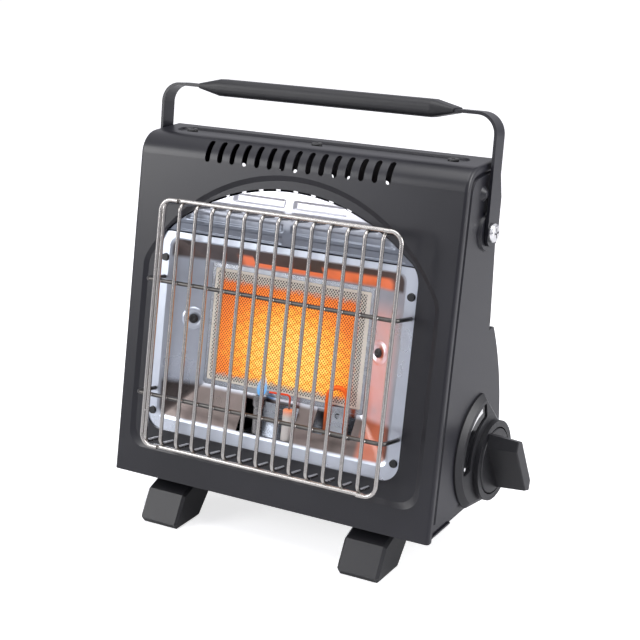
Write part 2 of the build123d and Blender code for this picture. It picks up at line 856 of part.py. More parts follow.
with BuildPart() as grille_legs:
    for v in (guard_leg_low, guard_leg_high):
        legs = [
            (guard_left, v, leg_end),
            (guard_left, v, guard_depth),
            (guard_right, v, guard_depth),
            (guard_right, v, leg_end),
        ]
        add(wire(legs, guard_wire, 4))
    add(grille_frame.part, mode=Mode.SUBTRACT)
keep(grille_legs, "grille_legs")

half_count = guard_rod_count // 2
for side, first in (("left", 0), ("right", half_count)):
    with BuildPart() as grille_rods:
        for i in range(first, first + half_count):
            u = guard_rod_first + i * guard_rod_pitch
            rod = [
                (u, guard_high, rod_depth + guard_hook),
                (u, guard_high, rod_depth),
                (u, guard_low, rod_depth),
                (u, guard_low, rod_depth + guard_hook),
            ]
            add(wire(rod, guard_rod, 4))
        add(grille_frame.part, mode=Mode.SUBTRACT)
        add(grille_legs.part, mode=Mode.SUBTRACT)
    keep(grille_rods, f"grille_rods_{side}")

# Heat shield between the burner and the cartridge
shield_top_z = hinge_z + 4.0
shield_rear_y = hinge_y - 4.0
shield_line = [
    (shield_y, tray_z + tray_sheet),
    (shield_y, shield_knee_z),
    (shield_rear_y, shield_knee_z + shield_rear_y - shield_y),
    (shield_rear_y, shield_top_z),
]
with BuildPart() as heat_shield:
    with BuildSketch(across(-inner_half + 1.5)):
        add(strip_face(shield_line, -shield_sheet))
    extrude(amount=inner_half - 1.5 + shield_right)
keep(heat_shield, "heat_shield")

# Gas cartridge and its cradle
shoulder_length = 14.0
neck_radius = 9.0
neck_length = 8.0
cartridge_line = [
    (cartridge_left, 0),
    (cartridge_left, cartridge_radius - 4),
    (cartridge_left + 3, cartridge_radius),
    (cartridge_left + cartridge_length - shoulder_length - neck_length, cartridge_radius),
    (cartridge_left + cartridge_length - neck_length, neck_radius + 5),
    (cartridge_left + cartridge_length - neck_length, neck_radius),
    (cartridge_left + cartridge_length, neck_radius),
    (cartridge_left + cartridge_length, 0),
]
can_wall = 0.5
can_neck_x = cartridge_left + cartridge_length - neck_length
can_inside = [
    (cartridge_left + can_wall, 0),
    (cartridge_left + can_wall, cartridge_radius - 4),
    (cartridge_left + 3, cartridge_radius - can_wall),
    (can_neck_x - shoulder_length, cartridge_radius - can_wall),
    (can_neck_x - can_wall, neck_radius + 4),
    (can_neck_x - can_wall, 0),
]
cartridge_plane = Plane(origin=(0, cartridge_y, foot_height + cartridge_z), x_dir=(1, 0, 0), z_dir=(0, -1, 0))
with BuildPart() as gas_cartridge:
    with BuildSketch(cartridge_plane):
        with BuildLine():
            Polyline(*cartridge_line, close=True)
        make_face()
    revolve(axis=Axis(cartridge_plane.origin, (1, 0, 0)))
    with BuildSketch(cartridge_plane):
        with BuildLine():
            Polyline(*can_inside, close=True)
        make_face()
    revolve(axis=Axis(cartridge_plane.origin, (1, 0, 0)), mode=Mode.SUBTRACT)
keep(gas_cartridge, "gas_cartridge")

with BuildPart() as cradle:
    for x in (-70.0, 45.0):
        with BuildSketch(across(x)):
            with Locations((cartridge_y - 1, (tray_z + tray_sheet + 24) / 2)):
                Rectangle(36, 24 - tray_z - tray_sheet)
            with Locations((cartridge_y, cartridge_z)):
                Circle(cartridge_radius + gap, mode=Mode.SUBTRACT)
        extrude(amount=2)
    with BuildSketch(level(tray_z + tray_sheet)):
        with Locations((-11.5, cartridge_y - 13)):
            Rectangle(113, 12)
    extrude(amount=1.2)
keep(cradle, "cartridge_cradle")

# Regulator valve: collar that takes the cartridge's neck, and a block down to the knob's axis
collar_length = 12.0
with BuildPart() as gas_valve:
    with BuildSketch(across(cartridge_left + cartridge_length - neck_length + 0.5)):
        with Locations((cartridge_y, cartridge_z)):
            Circle(neck_radius + 8)
            Circle(neck_radius + 0.2, mode=Mode.SUBTRACT)
    extrude(amount=neck_length)
    with BuildSketch(across(cartridge_left + cartridge_length + 0.3)):
        with Locations((cartridge_y, cartridge_z)):
            Circle(neck_radius + 8)
    extrude(amount=valve_right - 10 - cartridge_left - cartridge_length)
    with BuildSketch(across(valve_left + 8)):
        with Locations((knob_y - 2, (knob_z + cartridge_z) / 2 - 1)):
            RectangleRounded(26, 38, 4)
    extrude(amount=valve_right - valve_left - 8)
    with BuildSketch(across(valve_left + 10)):
        with Locations((knob_y, knob_z)):
            Circle(shaft_radius + running_gap)
    extrude(amount=valve_right, mode=Mode.SUBTRACT)
    with BuildSketch(across(valve_right)):
        with Locations((knob_y, knob_z)):
            Circle(shaft_radius + 1.9)
            Circle(shaft_radius + running_gap, mode=Mode.SUBTRACT)
    extrude(amount=3.4)
keep(gas_valve, "gas_valve")

piezo_z = 24.0
with BuildPart() as piezo_igniter:
    with BuildSketch(across(96)):
        with Locations((58, piezo_z)):
            Circle(6.5)
    extrude(amount=side_outer - sheet - 96)
    with BuildSketch(across(90)):
        with Locations((58, piezo_z)):
            Circle(4)
    extrude(amount=6)
keep(piezo_igniter, "piezo_igniter")


def pipe(name, points, radius, bend):
    """Small pipe or lead along points in the body's frame above its bottom edge."""
    with BuildPart() as made:
        with BuildLine() as path:
            FilletPolyline(*[(x, y, z + foot_height) for x, y, z in points], radius=bend)
        with BuildSketch(Plane(origin=path.line @ 0, z_dir=path.line % 0)):
            Circle(radius)
        sweep()
    keep(made, name)


def under_bracket(u, depth):
    """Spot just under the pilot bracket, above the body's bottom edge."""
    x, y, z = world_point(u, pilot_floor - 0.7, depth)
    return (x, y, z - foot_height)


injector_y = tube_depth * cos_lean + tube_level * sin_lean
injector_z = tube_level * cos_lean - tube_depth * sin_lean
pipe(
    "gas_pipe",
    [
        (106, knob_y - 8, cartridge_z + neck_radius + 8.2),
        (106, knob_y - 8, 72),
        (115, injector_y + 14, 84),
        (115, injector_y, 100),
        (115, injector_y, injector_z),
        (tube_end_x + 10, injector_y, injector_z),
    ],
    2.0,
    3.5,
)
pipe(
    "pilot_pipe",
    [
        (110, knob_y - 15, 37),
        (110, 42, 37),
        (110, 33, 26),
        (-15, 33, 26),
        (-15, 25, 27.5),
        (-15, 19.0, 31.5),
        under_bracket(pilot_x, 8.6),
    ],
    1.5,
    3.0,
)
pipe(
    "ignition_lead",
    [
        (90, 58, piezo_z),
        (84, 58, piezo_z),
        (84, 49, 16),
        (102, 44, 10),
        (104, 28, 12),
        (60, 26, 14),
        (plug_x + 6, 24, 20),
        under_bracket(plug_x, 8.2),
    ],
    1.2,
    3.0,
)

# Cover over the cartridge bay, hung from a rod along its top edge
with BuildPart() as hinge_rod:
    with BuildSketch(across(-118.5)):
        with Locations((hinge_y, hinge_z)):
            Circle(hinge_rod_radius)
    extrude(amount=237)
keep(hinge_rod, "hinge_rod")

cover_centre = side_rear_reach - side_rear_radius
cover_top_z = 115.7


def cover_y(z, radius):
    """Reach to the back of a cover arc of this radius at a height."""
    return cover_centre + math.sqrt(radius**2 - (z - side_rear_level) ** 2)


def cover_strip(thickness):
    """Side view of the curved cover sheet, this thick."""
    inner = cover_radius - thickness
    with BuildSketch(Plane.XY) as strip:
        with BuildLine():
            top_out = (cover_y(cover_top_z, cover_radius), cover_top_z)
            low_out = (cover_y(cover_bottom_z, cover_radius), cover_bottom_z)
            top_in = (cover_y(cover_top_z - 0.4, inner), cover_top_z - 0.4)
            low_in = (cover_y(cover_bottom_z, inner), cover_bottom_z)
            ThreePointArc(top_out, (cover_centre + cover_radius, side_rear_level), low_out)
            Line(low_out, low_in)
            ThreePointArc(low_in, (cover_centre + inner, side_rear_level), top_in)
            Line(top_in, top_out)
        make_face()
    return strip.sketch


moving_web = [
    (hinge_y, hinge_z - knuckle_radius),
    (cover_y(cover_top_z, cover_radius) - 0.5, cover_top_z - 0.9),
    (cover_y(cover_top_z, cover_radius), cover_top_z),
    (hinge_y + 2.0, hinge_z - 1.6),
]
with BuildPart() as cartridge_cover:
    with BuildSketch(across(-cover_half_width)):
        add(cover_strip(cover_sheet))
    extrude(amount=2 * cover_half_width)
    for start, depth in ((-cover_half_width, cover_sheet), (cover_half_width, -cover_sheet)):
        with BuildSketch(across(start)):
            add(cover_strip(cover_lip))
        extrude(amount=depth)
    with BuildSketch(level(cover_bottom_z)):
        lip_from = tray_rear + 0.6
        lip_to = cover_y(cover_bottom_z, cover_radius) - 0.4
        with Locations((0, (lip_from + lip_to) / 2)):
            Rectangle(2 * cover_half_width, lip_to - lip_from)
    extrude(amount=cover_sheet)
    for x_from, x_to in moving_spans:
        add(hinge_ring(knuckle_radius, x_from, x_to, moving_web))
keep(cartridge_cover, "cartridge_cover")

# Handle: one bent strip, wider at its lower ends, that turns on a screw at each side
lean = math.radians(handle_lean)
handle_plane = Plane(
    origin=(0, pivot_y, foot_height + pivot_z),
    x_dir=(1, 0, 0),
    z_dir=(0, -math.cos(lean), math.sin(lean)),
)
handle_side = Plane(
    origin=(0, pivot_y, foot_height + pivot_z),
    x_dir=(0, math.cos(lean), -math.sin(lean)),
    z_dir=(1, 0, 0),
)
handle_out = half + pivot_boss_height + gap + handle_thickness
handle_low = -9.0
with BuildPart() as handle_strip:
    leg_line = [
        (-handle_out, handle_low),
        (-handle_out, handle_rise),
        (handle_out, handle_rise),
        (handle_out, handle_low),
    ]
    with BuildSketch(handle_plane.offset(handle_front_reach)):
        add(strip_face(leg_line, handle_thickness, (handle_corner, handle_corner)))
    extrude(amount=-handle_lower_width)
    rear_reach = handle_lower_width - handle_front_reach
    upper_reach = handle_upper_width - handle_front_reach
    with BuildSketch(handle_side):
        with BuildLine():
            Polyline(
                (rear_reach + 5, handle_step_rise - 6),
                (rear_reach, handle_step_rise - 6),
                (upper_reach, handle_step_rise + 8),
                (upper_reach, handle_rise + 5),
                (rear_reach + 5, handle_rise + 5),
                close=True,
            )
        make_face()
    extrude(amount=140, both=True, mode=Mode.SUBTRACT)
    low_corners = handle_strip.edges().filter_by(Axis.X).group_by(Axis.Z)
    fillet(low_corners[0] + low_corners[1], 7.0)
    with BuildSketch(handle_side):
        Circle(pivot_screw_radius + running_gap)
    extrude(amount=140, both=True, mode=Mode.SUBTRACT)
keep(handle_strip, "handle_strip")

grip_mid_depth = handle_front_reach - handle_upper_width / 2
grip_centre = handle_rise - handle_thickness / 2
with BuildPart() as handle_grip:
    sections = (
        (-grip_half_length, 14.0, 3.6),
        (-grip_half_length + grip_taper, grip_depth, grip_height),
        (grip_half_length - grip_taper, grip_depth, grip_height),
        (grip_half_length, 14.0, 3.6),
    )
    for first, second in zip(sections, sections[1:]):
        for x, depth, height in (first, second):
            with BuildSketch(handle_side.offset(x)):
                with Locations((-grip_mid_depth, grip_centre)):
                    RectangleRounded(depth, height, height * 0.42)
        loft()
    with BuildSketch(handle_side.offset(-grip_half_length)):
        with Locations((-grip_mid_depth, grip_centre)):
            Rectangle(handle_upper_width, handle_thickness)
    extrude(amount=2 * grip_half_length, mode=Mode.SUBTRACT)
keep(handle_grip, "handle_grip")

with BuildPart() as pivot_screws:
    head_start = handle_out + gap
    for side in (-1, 1):
        with BuildSketch(across(side * head_start)):
            with Locations((pivot_y, pivot_z)):
                Circle(pivot_head_radius)
        extrude(amount=side * pivot_head_height)
        with BuildSketch(across(side * (side_outer - sheet - 4))):
            with Locations((pivot_y, pivot_z)):
                Circle(pivot_screw_radius)
        extrude(amount=side * (head_start - side_outer + sheet + 4))
    outer_rims = pivot_screws.edges().filter_by(GeomType.CIRCLE).group_by(Axis.X)
    fillet(outer_rims[0] + outer_rims[-1], 2.2)
    for side in (-1, 1):
        with BuildSketch(across(side * (head_start + pivot_head_height))):
            with Locations((pivot_y, pivot_z)):
                Rectangle(6.4, 1.3)
                Rectangle(1.3, 6.4)
        extrude(amount=-side * 1.8, mode=Mode.SUBTRACT)
keep(pivot_screws, "pivot_screws")

with BuildPart() as pivot_nuts:
    for side in (-1, 1):
        with BuildSketch(across(side * (side_outer - sheet))):
            with Locations((pivot_y, pivot_z)):
                RegularPolygon(4.6, 6)
                Circle(pivot_screw_radius + screw_gap, mode=Mode.SUBTRACT)
        extrude(amount=-side * 3)
keep(pivot_nuts, "pivot_nuts")

# Bezel with a sector window, and the knob that turns in its collar
bezel_apex = (76.0, 77.6)
bezel_low = (51.0, 5.0)


def tangent_spot(point, side):
    """Where a line from the point touches the bezel's round part, on side 1 or -1."""
    dy, dz = point[0] - knob_y, point[1] - knob_z
    turn = math.atan2(dz, dy) + side * math.acos(bezel_round_radius / math.hypot(dy, dz))
    return (knob_y + bezel_round_radius * math.cos(turn), knob_z + bezel_round_radius * math.sin(turn))


with BuildSketch(Plane.XY) as bezel_outline:
    with BuildLine():
        low_touch = tangent_spot(bezel_low, 1)
        rear_touch = tangent_spot(bezel_apex, -1)
        ThreePointArc(bezel_apex, (34.6, 35.0), bezel_low)
        Line(bezel_low, low_touch)
        ThreePointArc(low_touch, (knob_y + bezel_round_radius, knob_z), rear_touch)
        Line(rear_touch, bezel_apex)
    make_face()
    fillet(bezel_outline.vertices().sort_by_distance(bezel_apex)[0], 4)
    fillet(bezel_outline.vertices().sort_by_distance(bezel_low)[0], 8)


def sector(inner, outer, start, end):
    """Ring sector about the fan's centre, between two angles in degrees."""
    def spot(radius, angle):
        turn = math.radians(angle)
        return (bezel_fan_y + radius * math.cos(turn), bezel_fan_z + radius * math.sin(turn))

    middle = (start + end) / 2
    with BuildSketch(Plane.XY) as ring:
        with BuildLine():
            ThreePointArc(spot(inner, start), spot(inner, middle), spot(inner, end))
            Line(spot(inner, end), spot(outer, end))
            ThreePointArc(spot(outer, end), spot(outer, middle), spot(outer, start))
            Line(spot(outer, start), spot(inner, start))
        make_face()
        fillet(ring.vertices(), 2)
    return ring.sketch


with BuildPart() as bezel:
    with BuildSketch(across(half)):
        add(bezel_outline.sketch)
    extrude(amount=bezel_plate)
    chamfer(bezel.faces().sort_by(Axis.X)[-1].edges(), 3.0, 4.0)
    with BuildSketch(across(half)):
        with Locations((knob_y, knob_z)):
            Circle(collar_outer)
    extrude(amount=bezel_collar_top)
    with BuildSketch(across(half + 2.5)):
        with Locations((knob_y, knob_z)):
            Circle(collar_inner)
    extrude(amount=10, mode=Mode.SUBTRACT)
    with BuildSketch(across(half)):
        with Locations((knob_y, knob_z)):
            Circle(shaft_radius + 2)
    extrude(amount=10, mode=Mode.SUBTRACT)
    with BuildSketch(across(half + 2.2)):
        add(sector(window_inner, window_outer, 98, 182))
    extrude(amount=10, mode=Mode.SUBTRACT)
keep(bezel, "bezel")

with BuildPart() as window_strip:
    with BuildSketch(across(half + 2.2)):
        add(sector(window_inner + 0.1, window_outer - 0.1, 98.3, 181.7))
    extrude(amount=1.0)
keep(window_strip, "window_strip")

knob_base = 2.5 + gap
turn_plane = Plane(
    origin=(half, knob_y, foot_height + knob_z),
    x_dir=(0, -math.sin(math.radians(knob_turn)), math.cos(math.radians(knob_turn))),
    z_dir=(1, 0, 0),
)
with BuildPart() as knob:
    with BuildSketch(turn_plane.offset(knob_base)):
        Circle(knob_disc_radius)
    extrude(amount=knob_disc_top - knob_base)
    fillet(knob.faces().sort_by(Axis.X)[-1].edges(), 1.0)
    grip_low = [
        (-knob_half_length, 0),
        (-knob_shoulder, knob_half_width),
        (knob_shoulder, knob_half_width),
        (knob_half_length, 0),
        (knob_shoulder, -knob_half_width),
        (-knob_shoulder, -knob_half_width),
    ]
    with BuildSketch(turn_plane.offset(knob_disc_top - 0.2)):
        with BuildLine():
            Polyline(*grip_low, close=True)
        make_face()
    extrude(amount=knob_top - knob_disc_top + 0.2, taper=4)
    fillet(knob.faces().sort_by(Axis.X)[-1].edges(), 1.0)
    with BuildSketch(turn_plane.offset(knob_base)):
        Circle(shaft_radius + 0.02)
    extrude(amount=14, mode=Mode.SUBTRACT)
keep(knob, "knob")

with BuildPart() as knob_shaft:
    with BuildSketch(across(valve_left + 11)):
        with Locations((knob_y, knob_z)):
            Circle(shaft_radius)
    extrude(amount=half + knob_base + 13.8 - valve_left - 11)
keep(knob_shaft, "knob_shaft")

os.makedirs("parts", exist_ok=True)
for piece in parts:
    export_step(piece, f"parts/{piece.label}.step")
    print(piece.label, len(piece.solids()), round(piece.volume))
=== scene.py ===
# %% [markdown]
# A camping gas heater, dressed on top of its packed construction model.
# The pieces that the construction model already shapes well keep their meshes and get finishes here.
# A few pieces are built anew because their pressings are finer than the construction needs.

# %% Load the frame
import json
import math

import bmesh
import bpy
from mathutils import Matrix, Vector


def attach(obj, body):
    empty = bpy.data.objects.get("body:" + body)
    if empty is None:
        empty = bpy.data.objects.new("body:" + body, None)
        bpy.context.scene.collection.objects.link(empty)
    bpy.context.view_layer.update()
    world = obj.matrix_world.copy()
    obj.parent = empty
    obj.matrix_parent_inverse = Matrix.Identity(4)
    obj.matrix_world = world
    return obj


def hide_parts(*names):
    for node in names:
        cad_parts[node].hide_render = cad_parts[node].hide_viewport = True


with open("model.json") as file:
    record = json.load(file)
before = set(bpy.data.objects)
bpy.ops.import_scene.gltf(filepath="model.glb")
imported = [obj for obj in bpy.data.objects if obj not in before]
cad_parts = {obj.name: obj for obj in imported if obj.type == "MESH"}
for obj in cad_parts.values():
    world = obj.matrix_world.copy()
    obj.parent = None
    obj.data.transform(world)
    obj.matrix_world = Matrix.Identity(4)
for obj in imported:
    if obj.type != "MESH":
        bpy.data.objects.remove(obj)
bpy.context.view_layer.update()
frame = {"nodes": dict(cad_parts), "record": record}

nodes = frame["nodes"]
slot_of = {s["node"]: s["material_slot"] for s in frame["record"]["subparts"]}

# %% [markdown]
# Most of the heater is laid out on its leaning front panel.
# A point there is given in millimetres: a place across, a height along the panel, a depth behind it.
# Each piece could be placed with numbers of its own, but then the lean would hide in all of them.
# One helper turns such a point into metres in the object's own frame.

# %% The leaning panel's own coordinates
MM = 0.001
PANEL_LEAN = math.radians(11.6)
FOOT_HEIGHT = 30.0
SIN, COS = math.sin(PANEL_LEAN), math.cos(PANEL_LEAN)


def on_panel(u, v, depth):
    """Place in metres of a point given on the panel in millimetres."""
    return Vector((u, depth * COS + v * SIN, FOOT_HEIGHT + v * COS - depth * SIN)) * MM


print("panel top edge near", on_panel(0, 222, 0))

# %% [markdown]
# Shader maths reads best as plain expressions.
# The class below wraps one node socket, so that adding or multiplying two of them adds the Math node.
# Its method node makes any other node from its type, its settings and what goes into its sockets.
# The short methods under it only give names to the nodes that come up most.


# %% Shader sockets as numbers
class Signal:
    """A socket in a node tree that can be added, subtracted and multiplied like a number."""

    def __init__(self, tree, socket):
        self.tree = tree
        self.socket = socket

    def node(self, kind, settings=None, inputs=None, output=0):
        """Any node: settings are set first, then numbers or links go into its sockets."""
        made = self.tree.nodes.new(kind)
        for name, value in (settings or {}).items():
            if name == "stops":
                ramp = made.color_ramp
                while len(ramp.elements) < len(value):
                    ramp.elements.new(0.5)
                for element, (place, colour) in zip(ramp.elements, value):
                    element.position = place
                    element.color = (*colour, 1)
            else:
                setattr(made, name, value)
        for key, value in (inputs or {}).items():
            target = made.inputs[key]
            if isinstance(value, Signal):
                self.tree.links.new(value.socket, target)
            else:
                target.default_value = value
        return Signal(self.tree, made.outputs[output])

    def math(self, operation, *others):
        """A Math node that takes this signal and the others in turn."""
        values = {0: self, **{i + 1: other for i, other in enumerate(others)}}
        return self.node("ShaderNodeMath", {"operation": operation}, values)

    def __add__(self, other):
        return self.math("ADD", other)

    def __mul__(self, other):
        return self.math("MULTIPLY", other)

    def __sub__(self, other):
        return self.math("SUBTRACT", other)

    def __rsub__(self, other):
        return self.math("MULTIPLY", -1.0).math("ADD", other)

    __radd__ = __add__
    __rmul__ = __mul__

    def fract(self):
        return self.math("FRACT")

    def step(self, low, high):
        """Smooth rise from 0 to 1 between two values."""
        return self.node(
            "ShaderNodeMapRange",
            {"interpolation_type": "SMOOTHSTEP"},
            {0: self, 1: low, 2: high, 3: 0.0, 4: 1.0},
        )

    def blend(self, first, second):
        """Colour between two colours, by this signal."""
        mix = {"data_type": "RGBA"}
        return self.node("ShaderNodeMix", mix, {0: self, 6: first, 7: second}, output=2)


def new_material(name):
    """An empty material, its shader and a signal that carries the object's coordinates."""
    made = bpy.data.materials.new(name)
    made.use_nodes = True
    tree = made.node_tree
    shader = tree.nodes["Principled BSDF"]
    where = tree.nodes.new("ShaderNodeTexCoord").outputs["Object"]
    return made, shader, Signal(tree, where)


def feed(shader, socket, signal):
    """Links a signal into a socket of the shader."""
    signal.tree.links.new(signal.socket, shader.inputs[socket])


def panel_place(where):
    """Place across, height along the panel and depth, in millimetres, as signals."""
    axes = [where.node("ShaderNodeSeparateXYZ", {}, {0: where}, output=i) for i in range(3)]
    raised = axes[2] * 1000.0 - FOOT_HEIGHT
    up = axes[1] * (1000.0 * SIN) + raised * COS
    depth = axes[1] * (1000.0 * COS) + raised * -SIN
    return axes[0] * 1000.0, up, depth


def noise(where, scale, detail=3.0, stretch=(1, 1, 1)):
    """Noise over the object, in features per metre, stretched along an axis where asked."""
    placed = where.node("ShaderNodeMapping", {}, {0: where, 3: stretch})
    return where.node("ShaderNodeTexNoise", {}, {0: placed, 2: scale, 3: detail})


def inside(place, rise, fall):
    """1 between two soft edges, each given as the places where it starts and ends."""
    return place.step(*rise) * (1 - place.step(*fall))


def bump(shader, height, distance, strength=1.0):
    """Turns a height signal into the shader's normal."""
    feed(shader, "Normal", height.node("ShaderNodeBump", {}, {0: strength, 1: distance, 3: height}))


print("shader helpers ready")

# %% [markdown]
# The body is steel with a satin black powder coat.
# Such a coat has a faint orange-peel texture and a sheen that drifts a little from place to place.
# One even value would look like plain plastic, so two noises give this: a fine one for the bump,
# and a wide one for the roughness. Metals get the same treatment with their own grain.


# %% Painted, moulded and metal finishes
def coat(name, colour, roughness, grain, depth, drift=0.06):
    """Satin paint or moulded plastic: fine grain, drifting sheen, slight tone change."""
    made, shader, where = new_material(name)
    wide = noise(where, 14)
    feed(shader, "Roughness", wide * (2 * drift) + (roughness - drift))
    lighter = tuple(min(1, c * 1.35 + 0.002) for c in colour)
    feed(shader, "Base Color", wide.step(0.3, 0.7).blend((*colour, 1), (*lighter, 1)))
    bump(shader, noise(where, grain, 2), depth, 0.35)
    return made


def rolled_steel(name, colour, roughness):
    """Bright sheet with fine rolling lines across it."""
    made, shader, where = new_material(name)
    shader.inputs["Metallic"].default_value = 1.0
    lines = noise(where, 260, 4, (0.06, 1, 1))
    patches = noise(where, 22, 2)
    feed(shader, "Roughness", lines * 0.10 + patches * 0.12 + (roughness - 0.11))
    darker = tuple(c * 0.86 for c in colour)
    tone = patches.step(0.35, 0.7).blend((*colour, 1), (*darker, 1))
    feed(shader, "Base Color", tone)
    bump(shader, lines, 0.00004, 0.15)
    return made


def cast_metal(name, colour, roughness, grain=420):
    """Plated or plain metal for small turned pieces."""
    made, shader, where = new_material(name)
    shader.inputs["Metallic"].default_value = 1.0
    fine = noise(where, grain, 3)
    feed(shader, "Roughness", fine * 0.16 + (roughness - 0.08))
    feed(shader, "Base Color", fine.blend((*[c * 0.85 for c in colour], 1), (*colour, 1)))
    bump(shader, fine, 0.00005, 0.2)
    return made


finishes = {
    "black_paint": coat("satin_black_coat", (0.008, 0.008, 0.012), 0.34, 1900, 0.00006),
    "black_plastic": coat("moulded_black", (0.007, 0.007, 0.009), 0.45, 2600, 0.00008),
    "window_gloss": coat("gloss_strip", (0.004, 0.004, 0.005), 0.12, 400, 0.00001, 0.03),
    "bright_steel": rolled_steel("bright_sheet", (0.50, 0.53, 0.58), 0.27),
    "bright_wire": cast_metal("plated_wire", (0.50, 0.48, 0.46), 0.24),
    # The dark wire is the plated wire again in a darker copy: its darkness is painted shade.
    "dark_wire": cast_metal("wire_painted_shade", (0.11, 0.105, 0.10), 0.34),
    "chrome": cast_metal("chromed", (0.86, 0.86, 0.87), 0.10),
    "black_screw": coat("blackened_screw", (0.010, 0.010, 0.011), 0.36, 3000, 0.00004),
    "brass": cast_metal("brass_and_copper", (0.78, 0.55, 0.28), 0.26),
    "cast_valve": cast_metal("die_cast", (0.58, 0.58, 0.60), 0.42, 900),
    "can_paint": coat("can_enamel", (0.62, 0.64, 0.67), 0.28, 800, 0.00002),
    "lead_rubber": coat("lead_cover", (0.30, 0.03, 0.02), 0.45, 2200, 0.00005),
}
print("finishes", sorted(finishes))

# %% [markdown]
# The burner is a ceramic plaque with many tiny holes in staggered rows and a coarse lozenge relief.
# Gas burns just inside the holes, so the face glows yellow where it is hottest and orange around that.
# A band along the edge has no gas behind it and stays cream, with dark holes.
# Real holes would cost a great many faces for spots a millimetre wide.
# So they are a pattern of circles worked out from the place on the plaque, and no image is needed.

# %% The glowing plaque
HOLE_PITCH = 2.1
ROW_PITCH = 2.5
HOLE_RADIUS = 0.55
LOZENGE = 5.6
HEAT_HALF_WIDTH, HEAT_HALF_HEIGHT, HEAT_MIDDLE = 62.0, 48.0, 97.0
PLAQUE_LEFT, PLAQUE_RIGHT, PLAQUE_LOW, PLAQUE_HIGH = -62.0, 57.5, 73.1, 149.9
GLOW_STOPS = (
    (0.0, (0.55, 0.09, 0.012)),
    (0.30, (0.80, 0.22, 0.02)),
    (0.62, (0.95, 0.48, 0.05)),
    (1.0, (1.0, 0.74, 0.16)),
)


def plaque_finish():
    """Cream ceramic with dark holes round a glowing field, hottest low in the middle."""
    made, shader, where = new_material("glowing_ceramic")
    across, up, _ = panel_place(where)

    def lattice(shift):
        """Distance to the nearest hole of one of the two staggered sets of rows."""
        aside = ((across * (1 / HOLE_PITCH) + shift).fract() - 0.5) * HOLE_PITCH
        above = ((up * (1 / ROW_PITCH) + shift).fract() - 0.5) * ROW_PITCH
        return (aside * aside + above * above).math("SQRT")

    nearest = lattice(0.0).math("MINIMUM", lattice(0.5))
    hole = 1 - nearest.step(HOLE_RADIUS - 0.15, HOLE_RADIUS + 0.2)

    def stripe(sign):
        """Thin groove lines of the relief, leaning one way or the other."""
        along = across * (0.5 / LOZENGE * sign) + up * (0.87 / LOZENGE)
        off = (along.fract() - 0.5).math("ABSOLUTE")
        return 1 - off.step(0.02, 0.20)

    relief = stripe(1.0).math("MAXIMUM", stripe(-1.0))
    wobble = noise(where, 420, 2) * 6.0 - 3.0
    left, right = PLAQUE_LEFT, PLAQUE_RIGHT
    low, high = PLAQUE_LOW, PLAQUE_HIGH
    lit_u = inside(across + wobble, (left + 3, left + 7), (right - 10, right - 6))
    lit_v = inside(up + wobble, (low + 3, low + 7), (high - 10, high - 5))
    lit = lit_u * lit_v
    bored_u = inside(across, (left + 1.6, left + 2.2), (right - 3.2, right - 2.6))
    bored_v = inside(up, (low + 1.2, low + 1.8), (high - 1.8, high - 1.2))
    hole = hole * bored_u * bored_v
    aside = across * (1 / HEAT_HALF_WIDTH) - 0.02
    above = up * (1 / HEAT_HALF_HEIGHT) - (HEAT_MIDDLE / HEAT_HALF_HEIGHT)
    hot = 1 - (aside * aside + above * above).math("SQRT").step(0.15, 1.15)
    hot = (hot + (noise(where, 150, 3) - 0.5) * 0.35) * (1 - relief * 0.42) + lit * 0.10
    glow = hot.node("ShaderNodeValToRGB", {"stops": GLOW_STOPS}, {0: hot})
    clay = hole.blend((0.84, 0.78, 0.68, 1), (0.035, 0.03, 0.03, 1))
    ember = hole.blend((0.30, 0.13, 0.04, 1), (0.03, 0.01, 0.005, 1))
    feed(shader, "Base Color", lit.blend(clay, ember))
    cell = hole.blend((1, 1, 1, 1), (0.42, 0.13, 0.05, 1))
    shown = lit.node(
        "ShaderNodeMix",
        {"data_type": "RGBA", "blend_type": "MULTIPLY"},
        {0: 1.0, 6: glow, 7: cell},
        output=2,
    )
    feed(shader, "Emission Color", lit.blend((0, 0, 0, 1), shown))
    shader.inputs["Emission Strength"].default_value = 1.2
    shader.inputs["Roughness"].default_value = 0.85
    bump(shader, (1 - hole) + relief * -0.3, 0.0004, 0.6)
    return made


finishes["plaque_ceramic"] = plaque_finish()
print("plaque holes across about", round((PLAQUE_RIGHT - PLAQUE_LEFT) / HOLE_PITCH))
